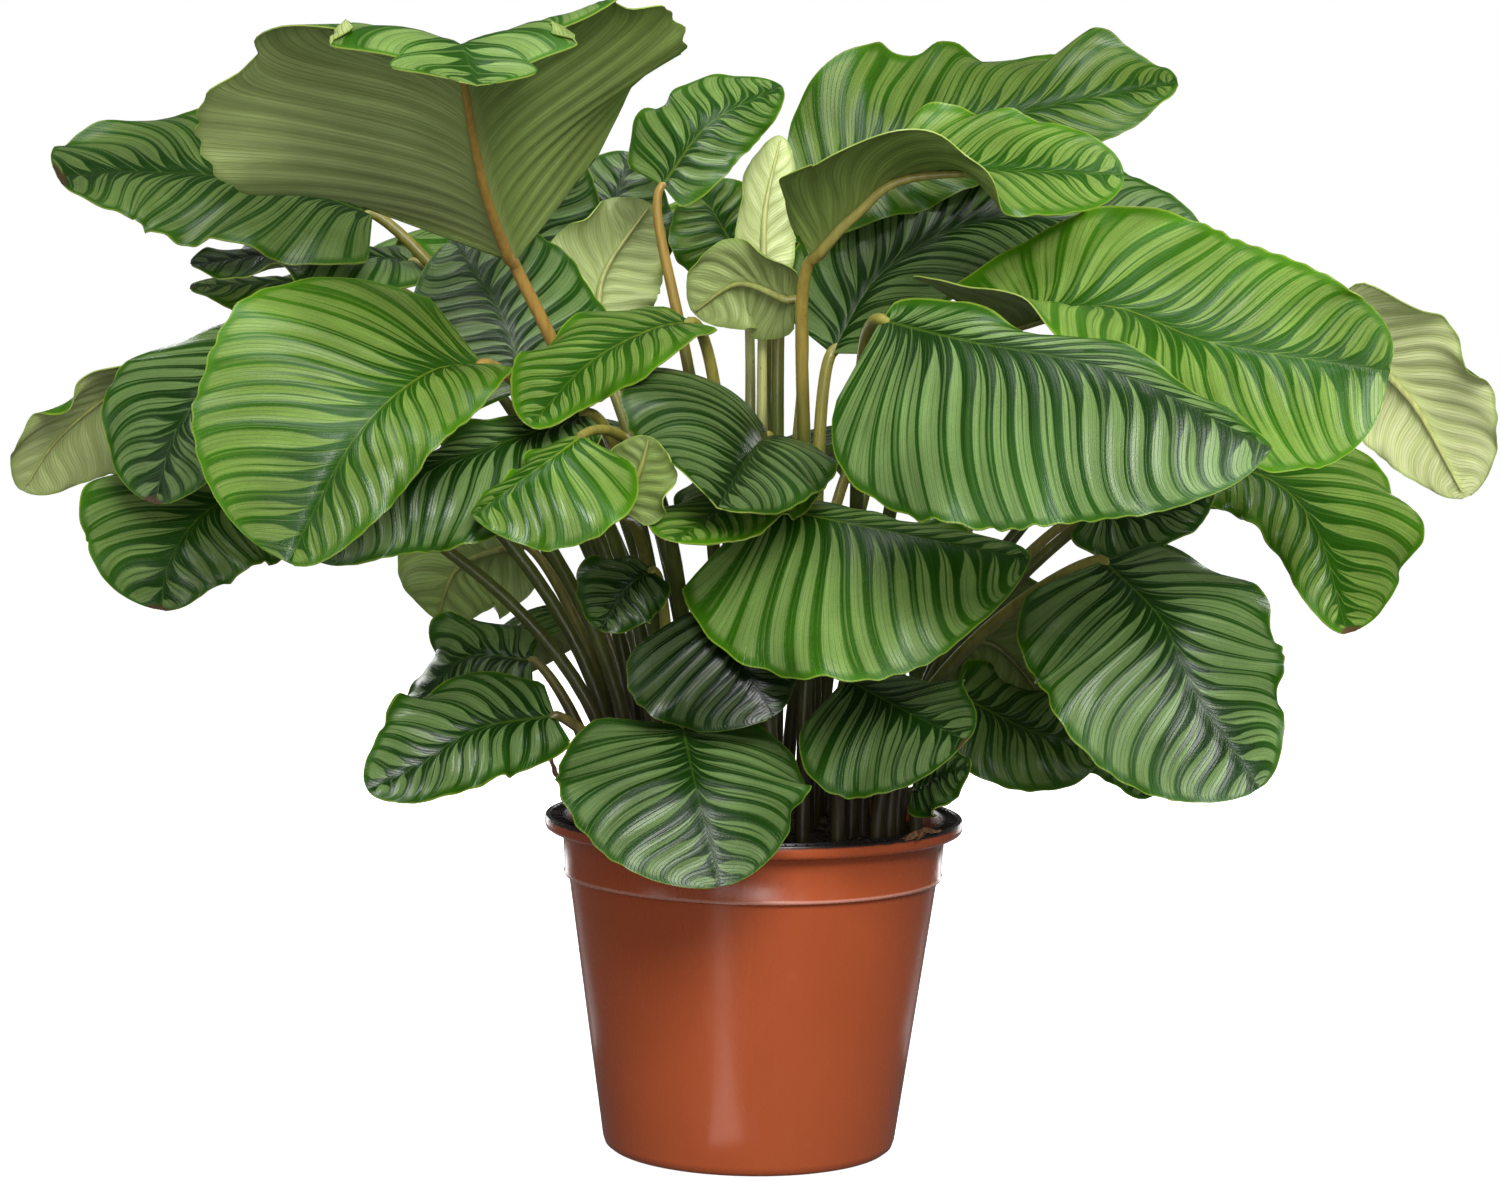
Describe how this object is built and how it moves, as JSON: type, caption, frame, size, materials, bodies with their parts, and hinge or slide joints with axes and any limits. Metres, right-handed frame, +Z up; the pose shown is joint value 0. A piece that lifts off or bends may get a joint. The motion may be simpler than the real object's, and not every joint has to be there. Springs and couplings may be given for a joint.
{
  "type": "potted house plant",
  "caption": "Calathea in a round nursery pot: broad rounded striped leaves on long stalks rising from the soil",
  "frame": {"origin": "middle of the pot's base, in the plane that the pot stands on", "axes": "+Z up along the pot's axis, -Y towards the plant's front, +X to the right seen from the front"},
  "size_m": [0.9714, 0.6975, 0.7362],
  "materials": {
    "pot": "satin",
    "soil": "matte",
    "leaf_bright": "satin",
    "leaf_mid": "satin",
    "leaf_deep": "satin"
  },
  "bodies": {
    "root": {"pot": "pot", "soil": "soil", "crown_left_front": "leaf_mid", "far_left_upper": "leaf_mid", "left_under_upper": "leaf_deep", "left_yellow": "leaf_bright", "left_mid_lower": "leaf_deep", "left_front": "leaf_bright", "far_left_low": "leaf_mid", "left_low": "leaf_mid", "left_front_low": "leaf_deep", "center_fold_green": "leaf_bright", "center_fold_pale": "leaf_mid", "center_left_upper": "leaf_bright", "center_round": "leaf_deep", "center_under": "leaf_bright", "center_front_low": "leaf_mid", "right_front_low": "leaf_deep", "right_front_top": "leaf_bright", "right_low_front": "leaf_deep", "right_drape": "leaf_bright", "far_right": "leaf_mid", "top_right_back": "leaf_bright", "top_right_front": "leaf_bright", "right_dark": "leaf_deep", "top_center": "leaf_mid", "center_pale": "leaf_mid", "center_dark_a": "leaf_deep", "center_dark_b": "leaf_deep", "back_yellow": "leaf_bright", "back_pale": "leaf_mid", "center_grey": "leaf_mid", "left_center_dark": "leaf_deep", "bottom_front": "leaf_deep", "bottom_right_front": "leaf_deep", "low_center_dark": "leaf_deep", "low_center_small": "leaf_deep", "low_left_front": "leaf_deep", "low_left_back": "leaf_deep", "left_inner_grey": "leaf_mid", "low_right_grey": "leaf_mid", "low_right_green": "leaf_mid", "low_right_dark": "leaf_deep", "right_mid_dark": "leaf_deep", "rim_right_small": "leaf_deep", "back_high_left": "leaf_mid", "back_high_mid": "leaf_bright", "back_high_right": "leaf_deep", "back_mid_far_left": "leaf_deep", "back_mid_left": "leaf_mid", "back_mid_right": "leaf_deep", "back_mid_far_right": "leaf_mid", "back_low_left": "leaf_mid", "back_low_mid": "leaf_deep", "back_low_right": "leaf_mid"}
  },
  "joints": []
}
